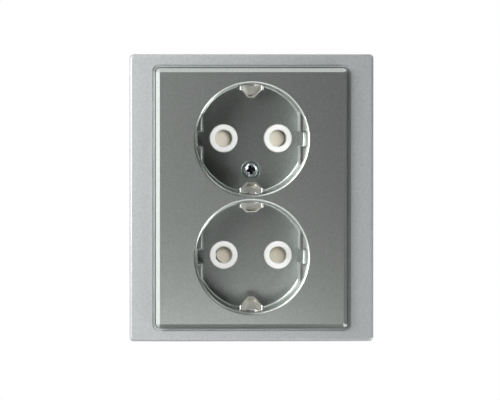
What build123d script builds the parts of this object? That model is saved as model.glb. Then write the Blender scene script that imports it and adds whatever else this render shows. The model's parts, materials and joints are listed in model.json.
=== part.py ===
from build123d import *

import os

# Double schuko socket outlet for one flush box, all sizes in mm.
# It is modelled as seen from the room: x to the right, y up, z off the wall towards the viewer.
# The wall's surface is z = 0. Each piece is stood upright, front towards -Y, when it is written.

# Frame
FRAME_WIDTH = 85.0
FRAME_HEIGHT = 100.0
FRAME_CORNER = 1.5
FRAME_EDGE_ROUND = 1.0
CROWN_RADIUS = 700.0
FRAME_SIDE = 9.2
FRAME_END = 4.85
FRAME_SKIN = 2.0
OPENING_WALL = 1.6
REBATE_WIDTH = 0.9
REBATE_DEPTH = 0.9
REBATE_CORNER = 2.0
SHELF_THICKNESS = 1.5
FRAME_RIB = 1.2
FRAME_RIBS = 3

# Cover plate
COVER_PROUD = 2.4
SKIRT_DEPTH = 5.0
COVER_CORNER = 1.5
COVER_BEVEL = 1.35
COVER_SKIN = 1.8
COVER_SKIRT = 1.6
COVER_GAP = 0.2
COVER_RIB = 1.2
COVER_RIB_DEPTH = 2.4

# Plug recesses, as large as the cover's height leaves room for
RECESS_MARGIN = 5.35
RECESS_WEB = 2.2
PIN_SPACING = 19.0
RECESS_DEPTH = 17.5
RECESS_DRAFT = 0.35
RECESS_WALL = 1.4
RIM_ROUND = 1.0
RECESS_FLOOR_ROUND = 0.6
FLOOR_THICKNESS = 1.5
FLOOR_GAP = 0.1

# Hollow guide walls at the sides of each recess
GUIDE_INSET = 2.45
GUIDE_WALL = 0.5
GUIDE_DRAFT = 0.4
GUIDE_GAP = 5.0
GUIDE_SETBACK = 0.9

# Cover screw, this far below the upper socket's pins
SCREW_DROP = 11.1
SCREW_RADIUS = 1.45
SCREW_HEAD_RADIUS = 2.6
SCREW_HEAD_HEIGHT = 1.9
SCREW_HEAD_ROUND = 0.7
SCREW_LENGTH = 6.6
SCREW_SEAT = 1.0
SCREW_CLEARANCE = 0.25
SCREW_WELL_RADIUS = 3.0
SCREW_WELL_CHAMFER = 0.35
CROSS_SLOT = 0.75
CROSS_SPAN = 3.1
CROSS_DEPTH = 1.1
CROSS_TURN = 12.0
BUSH_RADIUS = 2.5
BUSH_TOWER_RADIUS = 3.7

# Mounting plate, with slots for screws 60 mm apart
PLATE_THICKNESS = 1.2
PLATE_CORNER = 3.0
PLATE_END_INSET = 2.0
BOX_SCREW_SPACING = 60.0
SLOT_RADIUS = 2.1
SLOT_LENGTH = 8.0
SLOT_MARGIN = 6.0
CORNER_HOLE_RADIUS = 2.0
CORNER_HOLE_INSET = 7.0
PLATE_SCREW_X = 23.0
PLATE_SCREW_Y = 13.5
PLATE_SCREW_RADIUS = 1.3
PLATE_SCREW_LENGTH = 9.0
PLATE_SCREW_PLAY = 0.05
PLATE_SCREW_HEAD_RADIUS = 2.3
PLATE_SCREW_HEAD = 1.0
PILLAR_RADIUS = 2.6

# Earthing stamping and its clips, whose places are measured inwards from the recess's wall
EARTH_THICKNESS = 0.7
EARTH_WIDTH = 6.8
EARTH_TONGUE_HALF = 5.0
CLIP_FOOT_INSET = 1.75
CLIP_OUTER_TIP_INSET = 5.05
CLIP_INNER_TIP_INSET = 4.1
CLIP_ROOT_INSET = 0.65
CLIP_ROOT_BULGE = 0.5
CLIP_KNEE_HEIGHT = 4.0
CLIP_TIP_DEPTH = 9.5
CLIP_ROOT_DEPTH = 3.2
CLIP_LEG_WIDTH = 4.2
CLIP_OUTER_TIP_WIDTH = 2.2
CLIP_INNER_TIP_WIDTH = 3.6
CLIP_ROOT_WIDTH = 8.2
CLIP_EAR = 1.1
CLIP_LUG_RADIUS = 0.5
CLIP_LUG_LENGTH = 1.5
CLIP_LUG_PROUD = 0.12
CLIP_RIM = 0.55
CLIP_TRAY_DEPTH = 1.5
CLIP_TRAY_ROOT_WIDTH = 4.4
CLIP_BODY_DEPTH = 2.6
CLIP_GAP_WIDTH = 2.8
CLIP_CLEARANCE = 0.4
CLIP_BEND = 0.5

# Base and contact deck
BASE_BEYOND_PINS = 11.45
BASE_BEYOND_PILLARS = 0.4
BASE_BACK = -18.5
BASE_WALL = 1.5
BASE_CHAMFER = 1.2
BACK_FIELD_WIDTH = 42.0
BACK_FIELD_HEIGHT = 18.0
BACK_FIELD_DEPTH = 0.7
BACK_FIELD_CORNER = 2.0
GAUGE_LENGTH = 11.0
GAUGE_WIDTH = 2.0
GAUGE_DROP = 16.0
GRIP_RIB = 1.0
GRIP_RIB_PROUD = 0.6
GRIP_RIB_Y = (-9.0, 0.0, 9.0)
CHAMBER_FLOOR = -16.7
TERMINAL_FLOOR = -15.3
DECK_THICKNESS = 1.2
FIT = 0.2

# Shutters and their housings
RING_RADIUS = 4.95
RING_PROUD = 0.5
RING_ROUND = 0.5
PIN_HOLE_RADIUS = 2.9
PIN_HOLE_ROUND = 0.55
HOUSING_SKIN = 1.0
HOUSING_HALF_HEIGHT = 5.3
HOUSING_LEFT = -20.0
HOUSING_RIGHT = 14.8
HOUSING_CORNER = 4.0
SHUTTER_THICKNESS = 2.1
SHUTTER_TRAVEL = 6.0
SHUTTER_HALF_HEIGHT = 3.8
SHUTTER_GAP_FRONT = 0.1
SHUTTER_GAP = 0.15
SHUTTER_LEFT = -12.6
SHUTTER_RIGHT = 11.95
SHUTTER_END_ROUND = 2.95
SHUTTER_WINDOW = 6.3
SHUTTER_WINDOW_HALF = 2.6
SHUTTER_RAMP = 1.4
SPRING_POST = 1.1
SPRING_STRIP = 0.3
SPRING_FOLDS = 5
SPRING_HALF_HEIGHT = 2.0
SPRING_WIDTH = 1.5
SPRING_BEND = 0.7

# Contact forks, bars and screwless terminals
FORK_STRIP = 0.7
FORK_WIDTH = 5.6
FORK_GRIP = 4.2
FORK_HALF_SPAN = 3.1
FORK_BEND = 0.8
FORK_TIP = -3.8
FORK_PINCH = -6.8
FORK_NECK = -10.5
FORK_SEAT = 0.2
BAR_FRONT = -11.5
BAR_MIDDLE_FRONT = -4.6
TERMINAL_HALF = 7.0
WIRE_Y = 4.2
WIRE_RADIUS = 1.7
WIRE_FUNNEL = 0.7
WIRE_OFFSET = 1.95
CLAMP_STRIP = 0.35
CLAMP_PLAY = 0.05
CLAMP_WIDTH = 4.0
CLAMP_DEPTH = 9.3
CLAMP_HOOK = 6.6
CLAMP_BEND = 1.2
CLAMP_FRONT = -5.0
CLAMP_BACK = -13.4
CLAMP_EDGE = 0.6
CLAMP_EDGE_Z = -6.6
KEY_THICKNESS = 1.5
KEY_OFFSET = 3.9
KEY_HALF_SPAN = 6.0
KEY_SHAFT = 2.4
KEY_TIP = -12.7
KEY_PROUD = 2.2

# Sizes and places that follow from the ones above
COVER_WIDTH = FRAME_WIDTH - 2 * FRAME_SIDE
COVER_HEIGHT = FRAME_HEIGHT - 2 * FRAME_END
RECESS_RADIUS = (COVER_HEIGHT - 2 * RECESS_MARGIN - RECESS_WEB) / 4
SOCKET_Y = RECESS_RADIUS + RECESS_WEB / 2
PIN_X = PIN_SPACING / 2
PLATE_WIDTH = BOX_SCREW_SPACING + 2 * SLOT_MARGIN
PLATE_HEIGHT = FRAME_HEIGHT - 2 * PLATE_END_INSET
BASE_RADIUS = SOCKET_Y + BASE_BEYOND_PINS
BASE_HALF_WIDTH = PLATE_SCREW_X + PILLAR_RADIUS + BASE_BEYOND_PILLARS
CLIP_FOOT_RADIUS = RECESS_RADIUS - CLIP_FOOT_INSET
CLIP_ROOT_RADIUS = RECESS_RADIUS - CLIP_ROOT_INSET
SCREW_Y = SOCKET_Y - SCREW_DROP
EARTH_BACK = PLATE_THICKNESS
EARTH_FRONT = EARTH_BACK + EARTH_THICKNESS
FLOOR_BACK = EARTH_FRONT + FLOOR_GAP
FLOOR_FRONT = FLOOR_BACK + FLOOR_THICKNESS
COVER_FRONT = FLOOR_FRONT + RECESS_DEPTH
FRAME_FRONT = COVER_FRONT - COVER_PROUD
SHELF_FRONT = COVER_FRONT - SKIRT_DEPTH
HOUSING_CEILING = EARTH_BACK - HOUSING_SKIN
SHUTTER_FRONT = HOUSING_CEILING - SHUTTER_GAP_FRONT
SHUTTER_BACK = SHUTTER_FRONT - SHUTTER_THICKNESS
DECK_FRONT = SHUTTER_BACK - SHUTTER_GAP
DECK_BACK = DECK_FRONT - DECK_THICKNESS
OPENING_WIDTH = COVER_WIDTH + 2 * COVER_GAP
OPENING_HEIGHT = COVER_HEIGHT + 2 * COVER_GAP
RING_FRONT = FLOOR_FRONT + RING_PROUD
SCREW_SEAT_Z = FLOOR_FRONT - SCREW_SEAT
POST_LEFT = -SHUTTER_WINDOW + SHUTTER_GAP
POST_RIGHT = POST_LEFT + SPRING_POST
BAR_X = PIN_X + FORK_HALF_SPAN
BAR_FACE_X = BAR_X + FORK_STRIP / 2
TONGUE_X = EARTH_WIDTH / 2 - EARTH_THICKNESS
FORK_BOTTOM = CHAMBER_FLOOR + FORK_SEAT + FORK_STRIP / 2


def slab(width, height, z0, z1, corner=0.0):
    """A plate about the middle of the wall, with rounded corners."""
    outline = RectangleRounded(width, height, corner) if corner else Rectangle(width, height)
    return extrude(Pos(0, 0, z0) * outline, z1 - z0)


def block(x0, x1, y0, y1, z0, z1):
    middle = Pos((x0 + x1) / 2, (y0 + y1) / 2, (z0 + z1) / 2)
    return middle * Box(abs(x1 - x0), abs(y1 - y0), abs(z1 - z0))


def rod(radius, z0, z1, x=0.0, y=0.0):
    return Pos(x, y, (z0 + z1) / 2) * Cylinder(radius, abs(z1 - z0))


def half_turn(part):
    """The same piece, turned half round about the middle of the wall plate."""
    return Rot(0, 0, 180) * part


def strip_section(points, bend, thickness):
    """The section of a strip bent along a line, with rounded bends."""
    return make_face(FilletPolyline(*points, radius=bend).offset_2d(thickness / 2))


def round_base_outline(radius, half_width, z0, z1):
    """A round with two flats, clear of the flush box's screw towers."""
    return rod(radius, z0, z1) & block(-half_width, half_width, -radius, radius, z0, z1)


def crown(front):
    """A cylinder along y, whose crest is the crowned front at this height."""
    return Pos(0, 0, front - CROWN_RADIUS) * Rot(90, 0, 0) * Cylinder(CROWN_RADIUS, 2 * FRAME_HEIGHT)


def frame():
    body = slab(FRAME_WIDTH, FRAME_HEIGHT, 0, FRAME_FRONT, FRAME_CORNER) & crown(FRAME_FRONT)
    face = body.faces().sort_by(Axis.Z)[-1]
    body = fillet(face.outer_wire().edges(), FRAME_EDGE_ROUND)
    rebate = slab(
        OPENING_WIDTH + 2 * REBATE_WIDTH,
        OPENING_HEIGHT + 2 * REBATE_WIDTH,
        SHELF_FRONT,
        COVER_FRONT,
        REBATE_CORNER,
    )
    body -= rebate - crown(FRAME_FRONT - REBATE_DEPTH)
    shelf_width = COVER_WIDTH - 2 * COVER_SKIRT
    shelf_height = COVER_HEIGHT - 2 * COVER_SKIRT
    body -= slab(OPENING_WIDTH, OPENING_HEIGHT, SHELF_FRONT, COVER_FRONT, COVER_CORNER)
    body -= slab(shelf_width, shelf_height, 0, COVER_FRONT, COVER_CORNER)
    body -= slab(OPENING_WIDTH, OPENING_HEIGHT, 0, SHELF_FRONT - SHELF_THICKNESS, COVER_CORNER)
    # Room at the back for the mounting plate, and hollows behind the skin
    body -= slab(PLATE_WIDTH + 2 * FIT, PLATE_HEIGHT + 2 * FIT, 0, PLATE_THICKNESS)
    wall_x = OPENING_WIDTH / 2 + OPENING_WALL
    skin_x = FRAME_WIDTH / 2 - FRAME_SKIN
    hollow_top = crown(FRAME_FRONT - FRAME_SKIN)
    rib_pitch = OPENING_HEIGHT / (FRAME_RIBS + 1)
    for side in (-1, 1):
        for bay in range(FRAME_RIBS + 1):
            low = bay * rib_pitch - OPENING_HEIGHT / 2
            hollow = block(
                side * wall_x,
                side * skin_x,
                low + FRAME_RIB / 2,
                low + rib_pitch - FRAME_RIB / 2,
                0,
                FRAME_FRONT,
            )
            body -= hollow & hollow_top
    return body


def recess(y):
    """The tapered space that a plug goes into."""
    mouth = RECESS_RADIUS
    middle = (COVER_FRONT + FLOOR_FRONT) / 2
    space = Cone(mouth - RECESS_DRAFT, mouth, RECESS_DEPTH)
    space = fillet(space.edges().sort_by(Axis.Z)[0], RECESS_FLOOR_ROUND)
    return Pos(0, y, middle) * space


def guide_walls(y):
    """Four thin walls that key the plug's flats, each closing a hollow pocket at the round wall."""
    face = RECESS_RADIUS - GUIDE_INSET
    top = COVER_FRONT - GUIDE_SETBACK
    half_gap = GUIDE_GAP / 2
    cup = rod(RECESS_RADIUS + RECESS_WALL / 2, FLOOR_BACK, top, 0, y)
    section = Polygon(
        (face - GUIDE_DRAFT, FLOOR_BACK),
        (face + GUIDE_WALL, FLOOR_BACK),
        (face + GUIDE_WALL, top),
        (face, top),
        align=None,
    )
    chord = Pos(0, half_gap, 0) * (Plane.XZ * extrude(section, -RECESS_RADIUS))
    web = block(face, RECESS_RADIUS, half_gap, half_gap + GUIDE_WALL, FLOOR_BACK, top)
    corner = chord + web
    walls = []
    for quarter in (corner, mirror(corner, Plane.YZ)):
        for wall in (quarter, mirror(quarter, Plane.XZ)):
            walls.append(Pos(0, y, 0) * wall & cup)
    return walls


def clip_window(y, outward):
    """The slot in the floor and the notch in the round wall that one earth clip stands in."""
    half_leg = CLIP_LEG_WIDTH / 2 + CLIP_CLEARANCE
    half_root = CLIP_ROOT_WIDTH / 2 + CLIP_CLEARANCE
    inner = CLIP_FOOT_RADIUS - EARTH_THICKNESS - 2 * CLIP_CLEARANCE
    outer = RECESS_RADIUS + CLIP_CLEARANCE
    slot = block(-half_leg, half_leg, y + outward * inner, y + outward * outer, FLOOR_BACK, FLOOR_FRONT)
    notch = block(
        -half_root,
        half_root,
        y + outward * (CLIP_ROOT_RADIUS - EARTH_THICKNESS),
        y + outward * outer,
        FLOOR_FRONT,
        COVER_FRONT - CLIP_ROOT_DEPTH + CLIP_CLEARANCE,
    )
    return [slot, notch]


def cover_plate():
    body = slab(COVER_WIDTH, COVER_HEIGHT, SHELF_FRONT, COVER_FRONT, COVER_CORNER)
    body = chamfer(body.faces().sort_by(Axis.Z)[-1].outer_wire().edges(), COVER_BEVEL)
    inner_width = COVER_WIDTH - 2 * COVER_SKIRT
    inner_height = COVER_HEIGHT - 2 * COVER_SKIRT
    body -= slab(inner_width, inner_height, SHELF_FRONT, COVER_FRONT - COVER_SKIN)
    centres = (SOCKET_Y, -SOCKET_Y)
    for y in centres:
        body += rod(RECESS_RADIUS + RECESS_WALL, FLOOR_BACK, COVER_FRONT, 0, y)
    rib_back = COVER_FRONT - COVER_SKIN - COVER_RIB_DEPTH
    for y in centres:
        rib = slab(inner_width, COVER_RIB, rib_back, COVER_FRONT - COVER_SKIN)
        body += Pos(0, y, 0) * rib
    for y in centres:
        body -= recess(y)
    rims = body.faces().sort_by(Axis.Z)[-1].inner_wires()
    body = fillet([edge for rim in rims for edge in rim.edges()], RIM_ROUND)
    for y in centres:
        body += guide_walls(y)
        body -= clip_window(y, 1) + clip_window(y, -1)
        for x in (-PIN_X, PIN_X):
            body -= rod(RING_RADIUS + FIT / 2, FLOOR_BACK, FLOOR_FRONT, x, y)
    body -= rod(SCREW_RADIUS + SCREW_CLEARANCE, FLOOR_BACK, FLOOR_FRONT, 0, SCREW_Y)
    well = rod(SCREW_WELL_RADIUS, SCREW_SEAT_Z, FLOOR_FRONT, 0, SCREW_Y)
    chamfer_cut = Pos(0, SCREW_Y, FLOOR_FRONT - SCREW_WELL_CHAMFER / 2) * Cone(
        SCREW_WELL_RADIUS, SCREW_WELL_RADIUS + SCREW_WELL_CHAMFER, SCREW_WELL_CHAMFER
    )
    return body - well - chamfer_cut


def cover_screw():
    head_top = SCREW_SEAT_Z + SCREW_HEAD_HEIGHT
    head = rod(SCREW_HEAD_RADIUS, SCREW_SEAT_Z, head_top)
    head = fillet(head.edges().sort_by(Axis.Z)[-1], SCREW_HEAD_ROUND)
    arm = Pos(0, 0, head_top - CROSS_DEPTH / 2) * Box(CROSS_SPAN, CROSS_SLOT, CROSS_DEPTH)
    head -= Rot(0, 0, CROSS_TURN) * (arm + Rot(0, 0, 90) * arm)
    return Pos(0, SCREW_Y, 0) * (head + rod(SCREW_RADIUS, SCREW_SEAT_Z - SCREW_LENGTH, SCREW_SEAT_Z))


def screw_bush():
    return rod(BUSH_RADIUS, DECK_BACK, EARTH_BACK, 0, SCREW_Y) - rod(
        SCREW_RADIUS, DECK_BACK, EARTH_BACK, 0, SCREW_Y
    )


def mounting_plate():
    plate = slab(PLATE_WIDTH, PLATE_HEIGHT, 0, PLATE_THICKNESS, PLATE_CORNER)
    window = block(
        HOUSING_LEFT - FIT,
        -HOUSING_LEFT + FIT,
        -SOCKET_Y - HOUSING_HALF_HEIGHT - FIT,
        SOCKET_Y + HOUSING_HALF_HEIGHT + FIT,
        0,
        PLATE_THICKNESS,
    )
    plate -= window & rod(BASE_RADIUS - BASE_WALL, 0, PLATE_THICKNESS)
    for side in (-1, 1):
        slot = SlotOverall(SLOT_LENGTH, 2 * SLOT_RADIUS)
        plate -= extrude(Pos(side * BOX_SCREW_SPACING / 2, 0, 0) * slot, PLATE_THICKNESS)
    for x, y in plate_screw_places():
        plate -= rod(PLATE_SCREW_RADIUS + PLATE_SCREW_PLAY, 0, PLATE_THICKNESS, x, y)
    corner_x = PLATE_WIDTH / 2 - CORNER_HOLE_INSET
    corner_y = PLATE_HEIGHT / 2 - CORNER_HOLE_INSET
    for x in (-corner_x, corner_x):
        for y in (-corner_y, corner_y):
            plate -= rod(CORNER_HOLE_RADIUS, 0, PLATE_THICKNESS, x, y)
    return plate


def plate_screw_places():
    return [(i * PLATE_SCREW_X, j * PLATE_SCREW_Y) for i in (-1, 1) for j in (-1, 1)]


def plate_screws():
    screws = []
    for x, y in plate_screw_places():
        shank = rod(PLATE_SCREW_RADIUS, PLATE_THICKNESS - PLATE_SCREW_LENGTH, PLATE_THICKNESS, x, y)
        head = rod(PLATE_SCREW_HEAD_RADIUS, PLATE_THICKNESS, PLATE_THICKNESS + PLATE_SCREW_HEAD, x, y)
        slot_back = PLATE_THICKNESS + PLATE_SCREW_HEAD / 2
        slot = block(
            x - PLATE_SCREW_HEAD_RADIUS,
            x + PLATE_SCREW_HEAD_RADIUS,
            y - CROSS_SLOT / 2,
            y + CROSS_SLOT / 2,
            slot_back,
            PLATE_THICKNESS + PLATE_SCREW_HEAD,
        )
        screws.append(shank + head - slot)
    return Part() + screws


def clip_front(corners, tip, depth):
    """Half an outline and its mirror image, at this depth behind the lead-in's sloping front."""
    slope = (CLIP_TIP_DEPTH - CLIP_ROOT_DEPTH) / (CLIP_ROOT_RADIUS - tip)
    front = COVER_FRONT - CLIP_ROOT_DEPTH
    points = [(x, y, front - depth - slope * max(CLIP_ROOT_RADIUS - y, 0)) for x, y in corners]
    return points + [(-x, y, z) for x, y, z in points]


def clip_tray(tip, tip_width):
    """The lead-in at a clip's end: a folded tray that slopes from the recess's wall to the tip."""
    root, rim = CLIP_ROOT_RADIUS, CLIP_RIM
    half_root, half_tip, half_gap = CLIP_ROOT_WIDTH / 2, tip_width / 2, CLIP_GAP_WIDTH / 2
    outline = [
        (half_gap, root + CLIP_ROOT_BULGE),
        (half_root, root),
        (half_root, root - CLIP_EAR),
        (half_tip, tip),
    ]
    mouth = [
        (half_gap, root + CLIP_ROOT_BULGE - rim),
        (half_root - rim, root - rim),
        (half_root - rim, root - CLIP_EAR),
        (half_tip - rim / 2, tip + rim),
    ]
    floor = [(CLIP_TRAY_ROOT_WIDTH / 2, root - rim), (half_tip / 2, tip + rim)]
    body = ConvexPolyhedron(clip_front(outline, tip, 0) + clip_front(outline, tip, CLIP_BODY_DEPTH))
    pocket = ConvexPolyhedron(clip_front(mouth, tip, 0) + clip_front(floor, tip, CLIP_TRAY_DEPTH))
    front = COVER_FRONT - CLIP_ROOT_DEPTH
    gap = block(-half_gap, half_gap, root - rim, root + CLIP_ROOT_BULGE, front - CLIP_TRAY_DEPTH, front)
    lug = Rot(90, 0, 0) * Cylinder(CLIP_LUG_RADIUS, CLIP_LUG_LENGTH)
    lug_x = half_root - CLIP_LUG_RADIUS + CLIP_LUG_PROUD
    lug_y = root - CLIP_LUG_PROUD - CLIP_LUG_LENGTH / 2
    lug_z = front - CLIP_LUG_RADIUS + CLIP_LUG_PROUD
    return body - pocket - gap + [Pos(x, lug_y, lug_z) * lug for x in (-lug_x, lug_x)]


def earth_clip(tip, tip_width):
    """One clip, for a socket at the origin, with its foot towards +y: a leg and its lead-in."""
    tip_z = COVER_FRONT - CLIP_TIP_DEPTH
    knee_z = EARTH_FRONT + CLIP_KNEE_HEIGHT
    foot = CLIP_FOOT_RADIUS - EARTH_THICKNESS / 2
    path = [
        (foot, EARTH_BACK),
        (foot, knee_z),
        (tip + EARTH_THICKNESS, tip_z - CLIP_BODY_DEPTH / 2),
    ]
    leg = Plane.YZ * extrude(strip_section(path, CLIP_BEND, EARTH_THICKNESS), CLIP_LEG_WIDTH / 2, both=True)
    half_leg, half_tip = CLIP_LEG_WIDTH / 2, tip_width / 2
    taper = Polygon(
        (-half_leg, EARTH_BACK),
        (half_leg, EARTH_BACK),
        (half_leg, knee_z),
        (half_tip, tip_z),
        (-half_tip, tip_z),
        (-half_leg, knee_z),
        align=None,
    )
    leg &= Plane.XZ * extrude(taper, -RECESS_RADIUS)
    return leg + clip_tray(tip, tip_width)


def earth_plate():
    """One stamping: a strip behind both recesses, four bent-up clips and a tongue for the earth wires."""
    half = EARTH_WIDTH / 2
    end = SOCKET_Y + CLIP_FOOT_RADIUS
    strip = block(-half, half, -end, end, EARTH_BACK, EARTH_FRONT)
    strip -= rod(SCREW_RADIUS + SCREW_CLEARANCE, EARTH_BACK, EARTH_FRONT, 0, SCREW_Y)
    tongue = block(
        TONGUE_X, half, -EARTH_TONGUE_HALF, EARTH_TONGUE_HALF, TERMINAL_FLOOR + FIT, EARTH_FRONT
    )
    outer = earth_clip(RECESS_RADIUS - CLIP_OUTER_TIP_INSET, CLIP_OUTER_TIP_WIDTH)
    inner = earth_clip(RECESS_RADIUS - CLIP_INNER_TIP_INSET, CLIP_INNER_TIP_WIDTH)
    clips = [Pos(0, SOCKET_Y, 0) * outer, Pos(0, SOCKET_Y, 0) * half_turn(inner)]
    return strip + tongue + clips + [half_turn(c) for c in clips]


def shutter_housing():
    """The upper housing: a box for the slider, with a ring round each pin hole."""
    outline = extrude(
        Pos((HOUSING_LEFT + HOUSING_RIGHT) / 2, SOCKET_Y, DECK_FRONT)
        * RectangleRounded(HOUSING_RIGHT - HOUSING_LEFT, 2 * HOUSING_HALF_HEIGHT, HOUSING_CORNER),
        EARTH_BACK - DECK_FRONT,
    )
    body = outline & rod(BASE_RADIUS - BASE_WALL - FIT, DECK_FRONT, EARTH_BACK)
    half = SHUTTER_HALF_HEIGHT + SHUTTER_GAP
    body -= block(
        SHUTTER_LEFT - SHUTTER_TRAVEL - SHUTTER_GAP,
        SHUTTER_RIGHT + SHUTTER_GAP,
        SOCKET_Y - half,
        SOCKET_Y + half,
        DECK_FRONT,
        HOUSING_CEILING,
    )
    for x in (-PIN_X, PIN_X):
        hole = rod(PIN_HOLE_RADIUS, HOUSING_CEILING, RING_FRONT)
        ring = rod(RING_RADIUS, HOUSING_CEILING, RING_FRONT)
        ring = fillet(ring.edges().sort_by(Axis.Z)[-1], RING_ROUND) - hole
        mouth = ring.edges().group_by(Axis.Z)[-1].sort_by(SortBy.RADIUS)[0]
        ring = fillet(mouth, PIN_HOLE_ROUND)
        place = Pos(x, SOCKET_Y, 0)
        body -= place * hole
        body += place * ring
    return body


def shutter():
    """The upper slider: a ramped pad behind each pin hole, joined by two rails round a window."""
    half = SHUTTER_HALF_HEIGHT
    left = SHUTTER_LEFT + SHUTTER_END_ROUND
    right = SHUTTER_RIGHT - SHUTTER_END_ROUND
    body = block(left, right, -half, half, SHUTTER_BACK, SHUTTER_FRONT)
    for x in (left, right):
        body += rod(SHUTTER_END_ROUND, SHUTTER_BACK, SHUTTER_FRONT, x)
    window = SHUTTER_WINDOW
    window_half = SHUTTER_WINDOW_HALF
    body -= block(-window, window, -window_half, window_half, SHUTTER_BACK, SHUTTER_FRONT)
    for start, end in ((SHUTTER_LEFT, -window), (window, SHUTTER_RIGHT)):
        ramp = Polygon(
            (start, SHUTTER_FRONT),
            (end, SHUTTER_FRONT),
            (end, SHUTTER_FRONT - SHUTTER_RAMP),
            align=None,
        )
        body -= Plane.XZ * extrude(ramp, window_half, both=True)
    return Pos(0, SOCKET_Y, 0) * body


def shutter_spring():
    """The upper slider's spring: a strip folded to and fro between the post and the window's end."""
    start = POST_RIGHT + SPRING_STRIP / 2
    end = SHUTTER_WINDOW - SPRING_STRIP / 2
    pitch = (end - start) / SPRING_FOLDS
    points = [(start, SPRING_HALF_HEIGHT)]
    for fold in range(SPRING_FOLDS):
        low = SPRING_HALF_HEIGHT if fold % 2 else -SPRING_HALF_HEIGHT
        points += [(start + fold * pitch, low), (start + (fold + 1) * pitch, low)]
    points.append((end, -points[-1][1]))
    middle = (SHUTTER_FRONT + SHUTTER_BACK) / 2
    section = strip_section(points, SPRING_BEND, SPRING_STRIP)
    return Pos(0, SOCKET_Y, middle) * extrude(section, SPRING_WIDTH / 2, both=True)


def contact_cover():
    """The deck that keeps the contacts in, with a post for each shutter spring and the screw's tower."""
    deck = round_base_outline(
        BASE_RADIUS - BASE_WALL - FIT, BASE_HALF_WIDTH - BASE_WALL - FIT, DECK_BACK, DECK_FRONT
    )
    post = block(
        POST_LEFT,
        POST_RIGHT,
        SOCKET_Y - SPRING_HALF_HEIGHT,
        SOCKET_Y + SPRING_HALF_HEIGHT,
        DECK_FRONT,
        HOUSING_CEILING,
    )
    deck += [post, half_turn(post), rod(BUSH_TOWER_RADIUS, DECK_BACK, EARTH_BACK, 0, SCREW_Y)]
    deck -= rod(BUSH_RADIUS, DECK_BACK, EARTH_BACK, 0, SCREW_Y)
    for x in (-PIN_X, PIN_X):
        for y in (-SOCKET_Y, SOCKET_Y):
            deck -= rod(PIN_HOLE_RADIUS, DECK_BACK, DECK_FRONT, x, y)
    for x, y in plate_screw_places():
        deck -= rod(PILLAR_RADIUS + FIT, DECK_BACK, DECK_FRONT, x, y)
    tongue_half = EARTH_TONGUE_HALF + FIT
    return deck - block(
        TONGUE_X - FIT, EARTH_WIDTH / 2 + FIT, -tongue_half, tongue_half, DECK_BACK, DECK_FRONT
    )


def terminals():
    """Each terminal as (the x of the metal face that the wire lies on, the way from it to the spring)."""
    return {"live": (-BAR_FACE_X, -1), "neutral": (BAR_FACE_X, 1), "earth": (TONGUE_X, -1)}


def base_body():
    body = round_base_outline(BASE_RADIUS, BASE_HALF_WIDTH, BASE_BACK, 0)
    body = chamfer(body.faces().sort_by(Axis.Z)[0].outer_wire().edges(), BASE_CHAMFER)
    for side in (-1, 1):
        for y in GRIP_RIB_Y:
            body += block(
                side * (BASE_HALF_WIDTH - BASE_WALL),
                side * (BASE_HALF_WIDTH + GRIP_RIB_PROUD),
                y - GRIP_RIB / 2,
                y + GRIP_RIB / 2,
                BASE_BACK + BASE_CHAMFER,
                0,
            )
    # A sunk field round the wire entries, and a gauge for how far to strip a wire
    field_front = BASE_BACK + BACK_FIELD_DEPTH
    body -= slab(BACK_FIELD_WIDTH, BACK_FIELD_HEIGHT, BASE_BACK, field_front, BACK_FIELD_CORNER)
    body -= Pos(0, -GAUGE_DROP, 0) * slab(GAUGE_LENGTH, GAUGE_WIDTH, BASE_BACK, field_front)
    body -= round_base_outline(BASE_RADIUS - BASE_WALL, BASE_HALF_WIDTH - BASE_WALL, DECK_BACK, 0)
    fork_half = FORK_WIDTH / 2 + FIT
    fork_reach = FORK_HALF_SPAN + FORK_STRIP + FIT
    for side in (-1, 1):
        for y in (-SOCKET_Y, SOCKET_Y):
            x = side * PIN_X
            body -= block(
                x - fork_reach, x + fork_reach, y - fork_half, y + fork_half, CHAMBER_FLOOR, DECK_BACK
            )
        body -= block(
            side * (BAR_X - FORK_STRIP / 2 - FIT),
            side * (BAR_FACE_X + FIT),
            -SOCKET_Y,
            SOCKET_Y,
            CHAMBER_FLOOR,
            DECK_BACK,
        )
    for face_x, way in terminals().values():
        body -= block(
            face_x - way * (EARTH_THICKNESS + FIT),
            face_x + way * (CLAMP_DEPTH + CLAMP_STRIP / 2 + CLAMP_PLAY),
            -TERMINAL_HALF,
            TERMINAL_HALF,
            TERMINAL_FLOOR,
            DECK_BACK,
        )
        for y in (-WIRE_Y, WIRE_Y):
            wire_x = face_x + way * WIRE_OFFSET
            body -= rod(WIRE_RADIUS, BASE_BACK, TERMINAL_FLOOR, wire_x, y)
            funnel = Cone(WIRE_RADIUS + WIRE_FUNNEL, WIRE_RADIUS, WIRE_FUNNEL)
            body -= Pos(wire_x, y, field_front + WIRE_FUNNEL / 2) * funnel
        key_half = KEY_SHAFT / 2 + FIT / 2
        body -= block(
            face_x + way * (KEY_OFFSET - FIT / 2),
            face_x + way * (KEY_OFFSET + KEY_THICKNESS + FIT / 2),
            -key_half,
            key_half,
            BASE_BACK,
            TERMINAL_FLOOR,
        )
    body -= rod(SCREW_RADIUS + SCREW_CLEARANCE, SCREW_SEAT_Z - SCREW_LENGTH - FIT, DECK_BACK, 0, SCREW_Y)
    for x, y in plate_screw_places():
        body += rod(PILLAR_RADIUS, DECK_BACK, 0, x, y)
        hole_radius = PLATE_SCREW_RADIUS + PLATE_SCREW_PLAY
        body -= rod(hole_radius, PLATE_THICKNESS - PLATE_SCREW_LENGTH - FIT, 0, x, y)
    return body


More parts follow.
